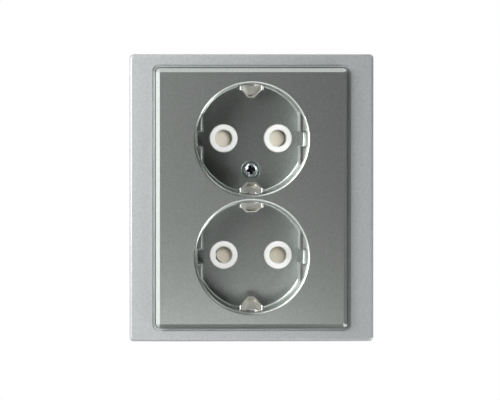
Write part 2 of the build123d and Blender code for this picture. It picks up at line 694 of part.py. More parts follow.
def contact_bar():
    """The neutral bar: two sprung forks joined by a strip that widens at the terminal."""
    grip = FORK_GRIP / 2 + FORK_STRIP / 2
    span = FORK_HALF_SPAN
    half_path = [(span, FORK_TIP), (grip, FORK_PINCH), (span, FORK_NECK), (span, FORK_BOTTOM)]
    path = half_path + [(-x, z) for x, z in reversed(half_path)]
    section = strip_section(path, FORK_BEND, FORK_STRIP)
    fork = Plane.XZ * extrude(section, FORK_WIDTH / 2, both=True)
    inner_x = BAR_X - FORK_STRIP / 2
    bar = block(inner_x, BAR_FACE_X, -SOCKET_Y, SOCKET_Y, FORK_BOTTOM + FORK_BEND, BAR_FRONT)
    bar += block(
        inner_x, BAR_FACE_X, -TERMINAL_HALF, TERMINAL_HALF, FORK_BOTTOM + FORK_BEND, BAR_MIDDLE_FRONT
    )
    return bar + [Pos(PIN_X, y, 0) * fork for y in (-SOCKET_Y, SOCKET_Y)]


def clamp_springs(name):
    """The two leaf springs of one terminal, each pressing a wire on the metal face."""
    face_x, way = terminals()[name]
    path = [
        (CLAMP_DEPTH, CLAMP_FRONT),
        (CLAMP_DEPTH, CLAMP_BACK),
        (CLAMP_HOOK, CLAMP_BACK),
        (CLAMP_EDGE, CLAMP_EDGE_Z),
    ]
    section = strip_section([(face_x + way * u, z) for u, z in path], CLAMP_BEND, CLAMP_STRIP)
    leaf = Plane.XZ * extrude(section, CLAMP_WIDTH / 2, both=True)
    return Part() + [Pos(0, y, 0) * leaf for y in (-WIRE_Y, WIRE_Y)]


def release_key(name):
    """A key through the base's back, whose crosspiece lifts both leaf springs of one terminal."""
    face_x, way = terminals()[name]
    near = face_x + way * KEY_OFFSET
    far = near + way * KEY_THICKNESS
    cross = block(near, far, -KEY_HALF_SPAN, KEY_HALF_SPAN, TERMINAL_FLOOR, KEY_TIP)
    shaft = block(near, far, -KEY_SHAFT / 2, KEY_SHAFT / 2, BASE_BACK - KEY_PROUD, KEY_TIP)
    return cross + shaft


def pieces():
    made = {
        "frame": frame(),
        "cover_plate": cover_plate(),
        "cover_screw": cover_screw(),
        "screw_bush": screw_bush(),
        "mounting_plate": mounting_plate(),
        "plate_screws": plate_screws(),
        "base_body": base_body(),
        "contact_cover": contact_cover(),
        "earth_plate": earth_plate(),
        "neutral_contact_bar": contact_bar(),
        "live_contact_bar": half_turn(contact_bar()),
    }
    for name, make in (
        ("shutter_housing", shutter_housing),
        ("shutter", shutter),
        ("shutter_spring", shutter_spring),
    ):
        upper = make()
        made[f"{name}_upper"] = upper
        made[f"{name}_lower"] = half_turn(upper)
    for name in terminals():
        made[f"clamp_springs_{name}"] = clamp_springs(name)
        made[f"release_key_{name}"] = release_key(name)
    return made


def main():
    os.makedirs("parts", exist_ok=True)
    upright = Plane.XZ.location
    for name, part in pieces().items():
        export_step(upright * part, f"parts/{name}.step")


main()
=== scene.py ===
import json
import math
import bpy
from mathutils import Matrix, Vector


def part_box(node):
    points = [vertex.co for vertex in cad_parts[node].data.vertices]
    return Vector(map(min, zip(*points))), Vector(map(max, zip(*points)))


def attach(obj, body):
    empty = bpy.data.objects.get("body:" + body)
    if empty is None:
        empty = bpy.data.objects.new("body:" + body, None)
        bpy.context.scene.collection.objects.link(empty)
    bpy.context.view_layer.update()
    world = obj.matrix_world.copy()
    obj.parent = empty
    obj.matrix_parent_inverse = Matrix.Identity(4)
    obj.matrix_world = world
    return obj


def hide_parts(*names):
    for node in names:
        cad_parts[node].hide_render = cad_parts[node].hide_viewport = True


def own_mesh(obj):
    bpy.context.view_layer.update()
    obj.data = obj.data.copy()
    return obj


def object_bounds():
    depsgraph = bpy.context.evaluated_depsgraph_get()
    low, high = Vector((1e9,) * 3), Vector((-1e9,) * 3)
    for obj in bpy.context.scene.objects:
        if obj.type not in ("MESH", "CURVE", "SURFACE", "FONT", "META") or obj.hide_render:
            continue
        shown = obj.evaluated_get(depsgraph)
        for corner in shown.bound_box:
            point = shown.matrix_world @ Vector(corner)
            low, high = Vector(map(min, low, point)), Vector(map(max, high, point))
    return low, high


bl_info = {
    "name": "Double Wall Socket",
    "version": (1, 0, 0),
    "blender": (4, 5, 0),
    "location": "View3D > Sidebar > Socket",
    "description": "Dresses a double wall socket and builds a studio round it",
    "category": "Object",
}

import bpy
from mathutils import Vector

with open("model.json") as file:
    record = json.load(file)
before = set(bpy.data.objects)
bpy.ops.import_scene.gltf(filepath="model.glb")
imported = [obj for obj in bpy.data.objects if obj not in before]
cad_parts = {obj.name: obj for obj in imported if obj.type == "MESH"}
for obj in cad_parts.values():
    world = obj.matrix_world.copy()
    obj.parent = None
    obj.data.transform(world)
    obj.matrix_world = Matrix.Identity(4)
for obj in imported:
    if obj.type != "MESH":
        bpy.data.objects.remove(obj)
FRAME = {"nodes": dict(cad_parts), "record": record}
CAD_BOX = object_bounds()

# Which CAD body each node rides on, the cover plate's box, and the middle of its front
BODY_OF = {
    node: body
    for body, nodes in FRAME["record"]["behaviour"]["bodies"].items()
    for node in nodes
}
COVER_LOW, COVER_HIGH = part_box("cover_plate")
FRONT_CENTRE = Vector(
    ((COVER_LOW.x + COVER_HIGH.x) / 2, COVER_LOW.y, (COVER_LOW.z + COVER_HIGH.z) / 2)
)

MM = 0.001

# The two sockets and the three terminals, by the words in the nodes' names
SOCKETS = ("upper", "lower")
POLES = ("live", "neutral", "earth")

# Points this near are joined, and faces at these angles are merged, rounded or shaded smooth
WELD = 1e-7
FLAT_ANGLE = math.radians(0.4)
EDGE_ANGLE = math.radians(30)
SMOOTH_ANGLE = math.radians(40)

# How finely edges, turned shapes and threads are drawn
EDGE_SEGMENTS = 2
LATHE_SIDES = 48
DOME_RINGS = 7
THREAD_STEPS = 24

# Sides of the cross recess's cutter and of the thread's ridge
CUTTER_SIDES = 4
RIDGE_SIDES = 3

# Turns of the cover screw's shank that have no thread
BARE_TURNS = 2

# Depth over which the cover's textured face turns into the smooth recesses
FACE_DEPTH = 0.5 * MM

# Waves or cells per metre of the textures
FLAKE_CELLS = 2600.0
LACQUER_GRAIN = 3200.0
PLASTIC_CLOUDS = 220.0
PLASTIC_GRAIN = 4000.0
METAL_STREAKS = 900.0
ZINC_CRYSTALS = 240.0
ZINC_FROST = 2500.0

# How many finer layers the noise has
GRAIN_DETAIL = 2.0
CLOUD_DETAIL = 3.0

# Stretch of an even texture, and of streaks drawn along one axis
EVEN = (1.0, 1.0, 1.0)
DRAWN_ALONG_X = (0.2, 1.0, 1.0)
DRAWN_ALONG_Y = (1.0, 0.2, 1.0)
DRAWN_ALONG_Z = (1.0, 1.0, 0.2)

# Darkest and lightest tones, as shares of a finish's colour
FLAKE_TONES = (0.88, 1.10)
CLOUD_TONES = (0.95, 1.04)
STREAK_TONES = (0.86, 1.06)
CRYSTAL_TONES = (0.80, 1.12)

# The least and the most that a texture adds to a finish's roughness
CLOUD_BLUR = (-0.05, 0.05)
STREAK_BLUR = (-0.06, 0.08)
CRYSTAL_BLUR = (-0.08, 0.08)

# Strength and depth of the bumps
LACQUER_BUMP = (0.10, 0.03 * MM)
STREAK_BUMP = (0.12, 0.02 * MM)
FROST_BUMP = (0.12, 0.03 * MM)
SMOOTH_PLASTIC_BUMP = (0.15, 0.01 * MM)
DECK_PLASTIC_BUMP = (0.15, 0.02 * MM)
BASE_PLASTIC_BUMP = (0.15, 0.03 * MM)

# Width of the picture in pixels and of the camera's sensor in millimetres
IMAGE_WIDTH = 500
SENSOR_WIDTH = 36.0

# White light, and the paint of the floor and of the black cards
WHITE = (1.0, 1.0, 1.0, 1.0)
FLOOR_WHITE = (0.82, 0.82, 0.82)
FLOOR_ROUGHNESS = 0.6
FLAG_BLACK = (0.02, 0.02, 0.02)
FLAG_ROUGHNESS = 0.9


def colour(name, description, default):
    """A property for a colour."""
    return bpy.props.FloatVectorProperty(
        name=name,
        description=description,
        default=default,
        size=3,
        min=0.0,
        max=1.0,
        subtype="COLOR",
    )


def distance(name, description, default):
    """A property for a length in metres."""
    return bpy.props.FloatProperty(
        name=name,
        description=description,
        default=default,
        min=0.0,
        subtype="DISTANCE",
        unit="LENGTH",
    )


def angle(name, description, default):
    """A property for an angle, whose default is given in degrees."""
    return bpy.props.FloatProperty(
        name=name,
        description=description,
        default=math.radians(default),
        subtype="ANGLE",
        unit="ROTATION",
    )


def share(name, description, default):
    """A property for a share from 0 to 1."""
    return bpy.props.FloatProperty(
        name=name,
        description=description,
        default=default,
        min=0.0,
        max=1.0,
        subtype="FACTOR",
    )


class SocketFinishes(bpy.types.PropertyGroup):
    """Colours and gloss of the socket's materials."""

    frame_silver: colour("Frame silver", "Metallic lacquer on the frame", (0.475, 0.495, 0.50))
    cover_silver: colour("Cover silver", "Metallic lacquer on the cover plate", (0.585, 0.62, 0.595))
    ring_white: colour("Ring white", "Plastic of the shutter housings", (0.88, 0.875, 0.86))
    shutter_ivory: colour("Shutter ivory", "Plastic of the sliding shutters", (0.60, 0.565, 0.47))
    base_grey: colour("Base grey", "Moulding compound of the base", (0.055, 0.057, 0.06))
    deck_grey: colour("Deck grey", "Plastic of the contact deck", (0.30, 0.30, 0.29))
    nickel: colour("Nickel", "Plating of the earth clips", (0.95, 0.93, 0.89))
    zinc: colour("Zinc", "Plating of the screws", (0.62, 0.66, 0.70))
    # Near-black zinc for the walls of the cover screw's cross recess: painted shade standing in for
    # the shadow that falls in the recess
    painted_shade_zinc: colour("Painted shade zinc", "Pressed walls of the screw's cross recess", (0.05, 0.055, 0.06))
    galvanised: colour("Galvanised", "Zinc skin of the mounting plate", (0.52, 0.54, 0.56))
    brass: colour("Brass", "Contact bars and the screw's bush", (0.78, 0.58, 0.27))
    spring_steel: colour("Spring steel", "Leaf springs", (0.48, 0.47, 0.45))
    key_orange: colour("Key orange", "Release keys of the terminals", (0.78, 0.24, 0.04))
    frame_roughness: share("Frame roughness", "Blur of reflections on the frame", 0.5)
    frame_coat: share("Frame coat", "Clear coat over the frame's lacquer", 1.0)
    coat_roughness: share("Coat roughness", "Blur of reflections on the clear coat", 0.1)
    frame_flake: share("Frame flake", "Share of metal flake in the frame's lacquer", 0.35)
    cover_roughness: share("Cover roughness", "Blur of reflections on the cover's face", 0.33)
    recess_roughness: share("Recess roughness", "Blur of reflections in the smooth recesses", 0.30)
    cover_flake: share("Cover flake", "Share of metal flake in the cover's lacquer", 0.95)
    plastic_roughness: share("Plastic roughness", "Blur of reflections on the plastics", 0.42)
    nickel_roughness: share("Nickel roughness", "Blur of reflections on the earth clips", 0.36)
    zinc_roughness: share("Zinc roughness", "Blur of reflections on the plate's screws", 0.30)
    polished_roughness: share("Polished roughness", "Blur of reflections on the cover screw", 0.22)
    dull_roughness: share("Dull roughness", "Blur of reflections in the cross recess", 0.5)
    sheet_roughness: share("Sheet roughness", "Blur of reflections on the mounting plate", 0.42)
    brass_roughness: share("Brass roughness", "Blur of reflections on the contacts", 0.28)
    steel_roughness: share("Steel roughness", "Blur of reflections on the springs", 0.30)


class SocketEdges(bpy.types.PropertyGroup):
    """Small radii that moulding, stamping and folding leave on edges."""

    frame: distance("Frame edge", "Edges of the frame", 0.35 * MM)
    moulded: distance("Moulded edge", "Edges of the cover plate", 0.16 * MM)
    inner_moulded: distance("Inner moulded edge", "Edges of the inner plastic pieces", 0.12 * MM)
    stamped: distance("Stamped edge", "Edges of the metal pieces", 0.10 * MM)
    spring: distance("Spring edge", "Edges of the thin leaf springs", 0.05 * MM)


class SocketPockets(bpy.types.PropertyGroup):
    """The hollows between the guide walls and the round wall of each recess."""

    recess_radius: distance("Recess radius", "Mouth of a plug recess", 19.35 * MM)
    wall_inset: distance("Wall inset", "From the recess's side to a guide wall's back", 2.0 * MM)
    half_gap: distance("Half gap", "From the pins' level to the nearest pocket", 2.9 * MM)
    depth: distance("Pocket depth", "From the cover's front to a floor's outer edge", 1.2 * MM)
    slope: angle("Floor slope", "How far a pocket's floor faces the recess's middle", 8.0)
    thickness: distance("Floor thickness", "Thickness of a pocket's floor", 0.8 * MM)


class SocketScrew(bpy.types.PropertyGroup):
    """Sizes of the cover screw that its outer box doesn't tell."""

    head_height: distance("Head height", "From the seat to the crest of the dome", 1.9 * MM)
    head_edge: distance("Head edge", "Height of the head's straight edge under the dome", 0.7 * MM)
    shank_radius: distance("Shank radius", "Outer radius of the thread", 1.45 * MM)
    thread_depth: distance("Thread depth", "Height of the thread over the core", 0.24 * MM)
    thread_pitch: distance("Thread pitch", "Pitch of the thread", 0.7 * MM)
    cross_span: distance("Cross span", "Length of the recess's arms at the top", 3.2 * MM)
    cross_width: distance("Cross width", "Width of the recess's arms at the top", 1.1 * MM)
    cross_depth: distance("Cross depth", "Depth of the recess", 2.0 * MM)
    cross_taper: share("Cross taper", "Size of the recess's bottom as a share of its top", 0.6)
    cross_turn: angle("Cross turn", "How far the cross is turned", 12.0)


class SocketStudio(bpy.types.PropertyGroup):
    """The camera, the floor and the light of the room."""

    camera_distance: distance("Camera distance", "From the camera to the cover's front", 2.0)
    camera_azimuth: angle("Camera azimuth", "How far the camera stands to the left", 1.3)
    camera_elevation: angle("Camera elevation", "How far the camera stands above", 1.8)
    pixel: distance("Pixel", "Size of a photograph's pixel on the cover's front", 0.3475 * MM)
    offset_right: distance("Offset right", "How far the socket sits right of the middle", 0.63 * MM)
    offset_up: distance("Offset up", "How far the socket sits above the middle", 0.62 * MM)
    floor_drop: distance("Floor drop", "From the socket's lower edge to the floor", 0.4)
    floor_size: distance("Floor size", "Side of the square floor", 1.6)
    floor_paleness: share("Floor paleness", "Share of the background's white in the floor", 0.9)
    room_light: share("Room light", "Light from all around", 0.3)


def select_only(piece):
    """Makes a piece the only one selected, and the active one."""
    bpy.ops.object.select_all(action="DESELECT")
    piece.select_set(True)
    bpy.context.view_layer.objects.active = piece


def add_node(tree, kind, **inputs):
    """A shader node with some of its input sockets set."""
    made = tree.nodes.new(kind)
    for name, value in inputs.items():
        made.inputs[name].default_value = value
    return made


def new_material(name, base, metallic, roughness):
    """A material and its Principled shader."""
    material = bpy.data.materials.new(name)
    material.use_nodes = True
    shader = material.node_tree.nodes["Principled BSDF"]
    shader.inputs["Base Color"].default_value = (*base, 1.0)
    shader.inputs["Metallic"].default_value = metallic
    shader.inputs["Roughness"].default_value = roughness
    return material, shader


def noise_at(tree, scale, detail, stretch=EVEN):
    """Noise that stays with the piece, scale in waves per metre."""
    coords = tree.nodes.new("ShaderNodeTexCoord")
    mapping = add_node(tree, "ShaderNodeMapping", Scale=stretch)
    noise = add_node(tree, "ShaderNodeTexNoise", Scale=scale, Detail=detail)
    tree.links.new(coords.outputs["Object"], mapping.inputs["Vector"])
    tree.links.new(mapping.outputs["Vector"], noise.inputs["Vector"])
    return noise


def cells_at(tree, scale):
    """Random cells that stay with the piece, scale in cells per metre."""
    coords = tree.nodes.new("ShaderNodeTexCoord")
    cells = add_node(tree, "ShaderNodeTexVoronoi", Scale=scale)
    tree.links.new(coords.outputs["Object"], cells.inputs["Vector"])
    return cells


def link_blur(tree, source, shader, roughness, added):
    """Varies a shader's roughness by a texture, by the least and the most that it adds."""
    spread = tree.nodes.new("ShaderNodeMapRange")
    for name, extra in zip(("To Min", "To Max"), added):
        spread.inputs[name].default_value = roughness + extra
    tree.links.new(source, spread.inputs["Value"])
    tree.links.new(spread.outputs["Result"], shader.inputs["Roughness"])


def link_tones(tree, source, shader, base, tones):
    """Varies a shader's base colour by a texture, between two shares of its brightness."""
    ramp = tree.nodes.new("ShaderNodeValToRGB")
    for stop, brightness in zip(ramp.color_ramp.elements, tones):
        stop.color = (*(min(channel * brightness, 1.0) for channel in base), 1.0)
    tree.links.new(source, ramp.inputs["Fac"])
    tree.links.new(ramp.outputs["Color"], shader.inputs["Base Color"])


def link_bump(tree, source, shader, bumps):
    """Roughens a shader's surface by a texture, with bumps of some strength and depth."""
    strength, depth = bumps
    bump = add_node(tree, "ShaderNodeBump", Strength=strength, Distance=depth)
    tree.links.new(source, bump.inputs["Height"])
    tree.links.new(bump.outputs["Normal"], shader.inputs["Normal"])


def link_depth(tree, target, front, back, low, high):
    """Drives a shader's socket by the depth behind the front, from low to high."""
    coords = tree.nodes.new("ShaderNodeTexCoord")
    axes = tree.nodes.new("ShaderNodeSeparateXYZ")
    tree.links.new(coords.outputs["Object"], axes.inputs["Vector"])
    spread = tree.nodes.new("ShaderNodeMapRange")
    for name, value in (("From Min", front), ("From Max", back), ("To Min", low), ("To Max", high)):
        spread.inputs[name].default_value = value
    tree.links.new(axes.outputs["Y"], spread.inputs["Value"])
    tree.links.new(spread.outputs["Result"], target)


def background_rays(tree):
    """A socket that is 1 for the rays that show the background: seen, reflected or let through."""
    path = tree.nodes.new("ShaderNodeLightPath")
    shown = path.outputs["Is Camera Ray"]
    for ray in ("Is Glossy Ray", "Is Transmission Ray"):
        either = tree.nodes.new("ShaderNodeMath")
        either.operation = "MAXIMUM"
        tree.links.new(shown, either.inputs[0])
        tree.links.new(path.outputs[ray], either.inputs[1])
        shown = either.outputs["Value"]
    return shown


def lacquer(name, base, flake, roughness):
    """Metallic lacquer on plastic: fine flakes of slightly different brightness."""
    material, shader = new_material(name, base, flake, roughness)
    tree = material.node_tree
    flakes = cells_at(tree, FLAKE_CELLS)
    link_tones(tree, flakes.outputs["Color"], shader, base, FLAKE_TONES)
    grain = noise_at(tree, LACQUER_GRAIN, GRAIN_DETAIL)
    link_bump(tree, grain.outputs["Fac"], shader, LACQUER_BUMP)
    return material


def moulded_plastic(name, base, roughness, bumps):
    """Plain moulded plastic, with slight clouding and a fine tool texture."""
    material, shader = new_material(name, base, 0.0, roughness)
    tree = material.node_tree
    clouds = noise_at(tree, PLASTIC_CLOUDS, CLOUD_DETAIL)
    link_tones(tree, clouds.outputs["Fac"], shader, base, CLOUD_TONES)
    link_blur(tree, clouds.outputs["Fac"], shader, roughness, CLOUD_BLUR)
    grain = noise_at(tree, PLASTIC_GRAIN, GRAIN_DETAIL)
    link_bump(tree, grain.outputs["Fac"], shader, bumps)
    return material


def metal(name, base, roughness, stretch):
    """Bare or plated metal: drawn streaks or even spots, with a slight unevenness in tone."""
    material, shader = new_material(name, base, 1.0, roughness)
    tree = material.node_tree
    streaks = noise_at(tree, METAL_STREAKS, CLOUD_DETAIL, stretch)
    link_tones(tree, streaks.outputs["Fac"], shader, base, STREAK_TONES)
    link_blur(tree, streaks.outputs["Fac"], shader, roughness, STREAK_BLUR)
    link_bump(tree, streaks.outputs["Fac"], shader, STREAK_BUMP)
    return material


def galvanised_sheet(name, base, roughness):
    """Hot-dipped zinc: flat crystals of different brightness."""
    material, shader = new_material(name, base, 1.0, roughness)
    tree = material.node_tree
    crystals = cells_at(tree, ZINC_CRYSTALS)
    link_tones(tree, crystals.outputs["Color"], shader, base, CRYSTAL_TONES)
    link_blur(tree, crystals.outputs["Color"], shader, roughness, CRYSTAL_BLUR)
    frost = noise_at(tree, ZINC_FROST, CLOUD_DETAIL)
    link_bump(tree, frost.outputs["Fac"], shader, FROST_BUMP)
    return material


def merged_copy(node, name):
    """A copy of a CAD node with its loose triangles joined into clean faces."""
    piece = bpy.data.objects.new(name, FRAME["nodes"][node].data.copy())
    bpy.context.scene.collection.objects.link(piece)
    piece.data.materials.clear()
    select_only(piece)
    bpy.ops.object.mode_set(mode="EDIT")
    bpy.ops.mesh.select_all(action="SELECT")
    bpy.ops.mesh.customdata_custom_splitnormals_clear()
    bpy.ops.mesh.remove_doubles(threshold=WELD)
    bpy.ops.mesh.dissolve_limited(angle_limit=FLAT_ANGLE)
    bpy.ops.object.mode_set(mode="OBJECT")
    return piece


def soften(piece, radius, clamp=True):
    """Rounds a piece's sharp edges, less where clamped by short ones, and keeps its flats flat."""
    select_only(piece)
    bevel = piece.modifiers.new("edges", "BEVEL")
    bevel.limit_method = "ANGLE"
    bevel.angle_limit = EDGE_ANGLE
    bevel.width = radius
    bevel.segments = EDGE_SEGMENTS
    bevel.use_clamp_overlap = clamp
    bpy.ops.object.modifier_apply(modifier=bevel.name)
    bpy.ops.object.shade_smooth_by_angle(angle=SMOOTH_ANGLE)
    flats = piece.modifiers.new("flats", "WEIGHTED_NORMAL")
    flats.keep_sharp = True
    bpy.ops.object.modifier_apply(modifier=flats.name)


def lathe(name, rings):
    """A turned piece about the z axis, drawn ring by ring from (radius, height) pairs."""
    radius, height = rings[0]
    bpy.ops.object.select_all(action="DESELECT")
    bpy.ops.mesh.primitive_circle_add(
        vertices=LATHE_SIDES, radius=radius, fill_type="NGON", location=(0, 0, height)
    )
    piece = bpy.context.object
    piece.name = name
    bpy.ops.object.transform_apply(location=True, rotation=False, scale=False)
    bpy.ops.object.mode_set(mode="EDIT")
    bpy.ops.mesh.select_all(action="SELECT")
    for next_radius, next_height in rings[1:]:
        rise = (0, 0, next_height - height)
        bpy.ops.mesh.extrude_region_move(TRANSFORM_OT_translate={"value": rise})
        grow = next_radius / radius
        bpy.ops.transform.resize(value=(grow, grow, 1.0), center_override=(0, 0, next_height))
        radius, height = next_radius, next_height
    bpy.ops.mesh.select_all(action="SELECT")
    bpy.ops.mesh.normals_make_consistent(inside=False)
    bpy.ops.object.mode_set(mode="OBJECT")
    return piece


def stand_in(piece, node):
    """Puts a finished piece in a CAD node's place on its body."""
    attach(piece, BODY_OF[node])
    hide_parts(node)


def dress(node, material, radius, clamp=True):
    """The usual dressing of a CAD node: a copy with soft edges and its finish."""
    piece = merged_copy(node, f"{node}_dressed")
    soften(piece, radius, clamp)
    piece.data.materials.append(material)
    stand_in(piece, node)
    return piece


class SOCKET_OT_frame(bpy.types.Operator):
    """Dress the outer frame in light metallic lacquer"""

    bl_idname = "socket.frame"
    bl_label = "Frame"

    def execute(self, context):
        finishes = context.scene.socket_finishes
        silver = lacquer(
            "frame_silver", finishes.frame_silver, finishes.frame_flake, finishes.frame_roughness
        )
        shader = silver.node_tree.nodes["Principled BSDF"]
        shader.inputs["Coat Weight"].default_value = finishes.frame_coat
        shader.inputs["Coat Roughness"].default_value = finishes.coat_roughness
        dress("frame", silver, context.scene.socket_edges.frame, clamp=False)
        return {"FINISHED"}


class SOCKET_OT_cover(bpy.types.Operator):
    """Dress the cover plate with both plug recesses in darker metallic lacquer"""

    bl_idname = "socket.cover"
    bl_label = "Cover plate"

    def execute(self, context):
        finishes = context.scene.socket_finishes
        face, recess = finishes.cover_roughness, finishes.recess_roughness
        silver = lacquer("cover_silver", finishes.cover_silver, finishes.cover_flake, face)
        tree = silver.node_tree
        blur = tree.nodes["Principled BSDF"].inputs["Roughness"]
        link_depth(tree, blur, COVER_LOW.y, COVER_LOW.y + FACE_DEPTH, face, recess)
        dress("cover_plate", silver, context.scene.socket_edges.moulded)
        return {"FINISHED"}


class SOCKET_OT_pockets(bpy.types.Operator):
    """Model the floors of the hollow guide walls, in the cover's lacquer"""

    bl_idname = "socket.pockets"
    bl_label = "Guide wall pockets"

    def execute(self, context):
        corner = self.corner_floor(context.scene.socket_pockets)
        floors = []
        for place in SOCKETS:
            low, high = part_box(f"shutter_housing_{place}")
            centre = (FRONT_CENTRE.x, 0, (low.z + high.z) / 2)
            for side in (-1, 1):
                for end in (-1, 1):
                    select_only(corner)
                    bpy.ops.object.duplicate()
                    floors.append(bpy.context.object)
                    floors[-1].location = centre
                    floors[-1].scale = (side, 1, end)
        bpy.data.objects.remove(corner)
        select_only(floors[0])
        for floor in floors:
            floor.select_set(True)
        bpy.ops.object.transform_apply(location=True, rotation=False, scale=True)
        bpy.ops.object.join()
        self.face_outwards()
        floors[0].name = "guide_pocket_floors"
        floors[0].data.materials.append(bpy.data.materials["cover_silver"])
        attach(floors[0], BODY_OF["cover_plate"])
        return {"FINISHED"}

    def corner_floor(self, sizes):
        """A thin plate in the corner between one guide wall and the round wall."""
        bpy.ops.object.select_all(action="DESELECT")
        bpy.ops.mesh.primitive_circle_add(
            vertices=2 * LATHE_SIDES,
            radius=sizes.recess_radius,
            fill_type="NGON",
            location=(0, COVER_LOW.y + sizes.depth, 0),
            rotation=(math.pi / 2, 0, 0),
        )
        bpy.ops.object.transform_apply(location=True, rotation=True, scale=False)
        outer_edge = (sizes.recess_radius, COVER_LOW.y + sizes.depth, 0)
        wall_back = (sizes.recess_radius - sizes.wall_inset, 0, 0)
        bpy.ops.object.mode_set(mode="EDIT")
        for place, kept in ((wall_back, (1, 0, 0)), ((0, 0, sizes.half_gap), (0, 0, 1))):
            bpy.ops.mesh.select_all(action="SELECT")
            bpy.ops.mesh.bisect(plane_co=place, plane_no=kept, clear_inner=True)
        bpy.ops.mesh.select_all(action="SELECT")
        bpy.ops.transform.rotate(value=sizes.slope, orient_axis="Z", center_override=outer_edge)
        bpy.ops.mesh.extrude_region_move(TRANSFORM_OT_translate={"value": (0, sizes.thickness, 0)})
        bpy.ops.object.mode_set(mode="OBJECT")
        return bpy.context.object

    def face_outwards(self):
        """Turns the faces of the mirrored floors outwards again."""
        bpy.ops.object.mode_set(mode="EDIT")
        bpy.ops.mesh.select_all(action="SELECT")
        bpy.ops.mesh.normals_make_consistent(inside=False)
        bpy.ops.object.mode_set(mode="OBJECT")


class SOCKET_OT_earthing(bpy.types.Operator):
    """Dress the earthing stamping and its four clips in nickel"""

    bl_idname = "socket.earthing"
    bl_label = "Earthing clips"

    def execute(self, context):
        finishes = context.scene.socket_finishes
        nickel = metal("nickel_plate", finishes.nickel, finishes.nickel_roughness, DRAWN_ALONG_Y)
        dress("earth_plate", nickel, context.scene.socket_edges.stamped)
        return {"FINISHED"}


class SOCKET_OT_shutters(bpy.types.Operator):
    """Dress the shutter housings and their sliders"""

    bl_idname = "socket.shutters"
    bl_label = "Shutters and housings"

    def execute(self, context):
        finishes = context.scene.socket_finishes
        blur = finishes.plastic_roughness
        edge = context.scene.socket_edges.inner_moulded
        white = moulded_plastic("ring_white", finishes.ring_white, blur, SMOOTH_PLASTIC_BUMP)
        ivory = moulded_plastic("shutter_ivory", finishes.shutter_ivory, blur, SMOOTH_PLASTIC_BUMP)
        for place in SOCKETS:
            dress(f"shutter_housing_{place}", white, edge)
            dress(f"shutter_{place}", ivory, edge)
        return {"FINISHED"}


class SOCKET_OT_base(bpy.types.Operator):
    """Dress the base and the deck over the contacts"""

    bl_idname = "socket.base"
    bl_label = "Base"

    def execute(self, context):
        finishes = context.scene.socket_finishes
        blur = finishes.plastic_roughness
        edge = context.scene.socket_edges.inner_moulded
        base = moulded_plastic("base_grey", finishes.base_grey, blur, BASE_PLASTIC_BUMP)
        deck = moulded_plastic("deck_grey", finishes.deck_grey, blur, DECK_PLASTIC_BUMP)
        dress("base_body", base, edge)
        dress("contact_cover", deck, edge)
        return {"FINISHED"}


class SOCKET_OT_mounting(bpy.types.Operator):
    """Dress the mounting plate and the screws that hold it"""

    bl_idname = "socket.mounting"
    bl_label = "Mounting plate"

    def execute(self, context):
        finishes = context.scene.socket_finishes
        edge = context.scene.socket_edges.stamped
        sheet = galvanised_sheet("galvanised_sheet", finishes.galvanised, finishes.sheet_roughness)
        zinc = metal("plate_screw_zinc", finishes.zinc, finishes.zinc_roughness, EVEN)
        dress("mounting_plate", sheet, edge)
        dress("plate_screws", zinc, edge)
        return {"FINISHED"}


class SOCKET_OT_contacts(bpy.types.Operator):
    """Dress the contact bars, the springs and the screw's bush"""

    bl_idname = "socket.contacts"
    bl_label = "Contacts and springs"

    def execute(self, context):
        finishes = context.scene.socket_finishes
        edges = context.scene.socket_edges
        brass = metal("contact_brass", finishes.brass, finishes.brass_roughness, DRAWN_ALONG_Z)
        steel = metal("spring_steel", finishes.spring_steel, finishes.steel_roughness, DRAWN_ALONG_X)
        for node in ("live_contact_bar", "neutral_contact_bar", "screw_bush"):
            dress(node, brass, edges.stamped)
        for place in SOCKETS:
            node = f"shutter_spring_{place}"
            self.fold_up(dress(node, steel, edges.spring), node, place)
        for pole in POLES:
            node = f"clamp_springs_{pole}"
            self.give_way(dress(node, steel, edges.spring), node, pole)
        return {"FINISHED"}

    def fold_up(self, spring, node, place):
        """Gives a shutter's spring a mesh of its own; the spring, which folds up to its post left in
        the upper socket and right in the lower, is not folded here.
        """
        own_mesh(spring)

    def give_way(self, spring, node, pole):
        """Gives a terminal's springs a mesh of their own; they give way to the front as their key is
        pushed in, but are not moved here.
        """
        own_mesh(spring)


class SOCKET_OT_keys(bpy.types.Operator):
    """Dress the release keys of the three terminals"""

    bl_idname = "socket.keys"
    bl_label = "Release keys"

    def execute(self, context):
        finishes = context.scene.socket_finishes
        blur = finishes.plastic_roughness
        edge = context.scene.socket_edges.inner_moulded
        orange = moulded_plastic("key_orange", finishes.key_orange, blur, SMOOTH_PLASTIC_BUMP)
        for pole in POLES:
            dress(f"release_key_{pole}", orange, edge)
        return {"FINISHED"}


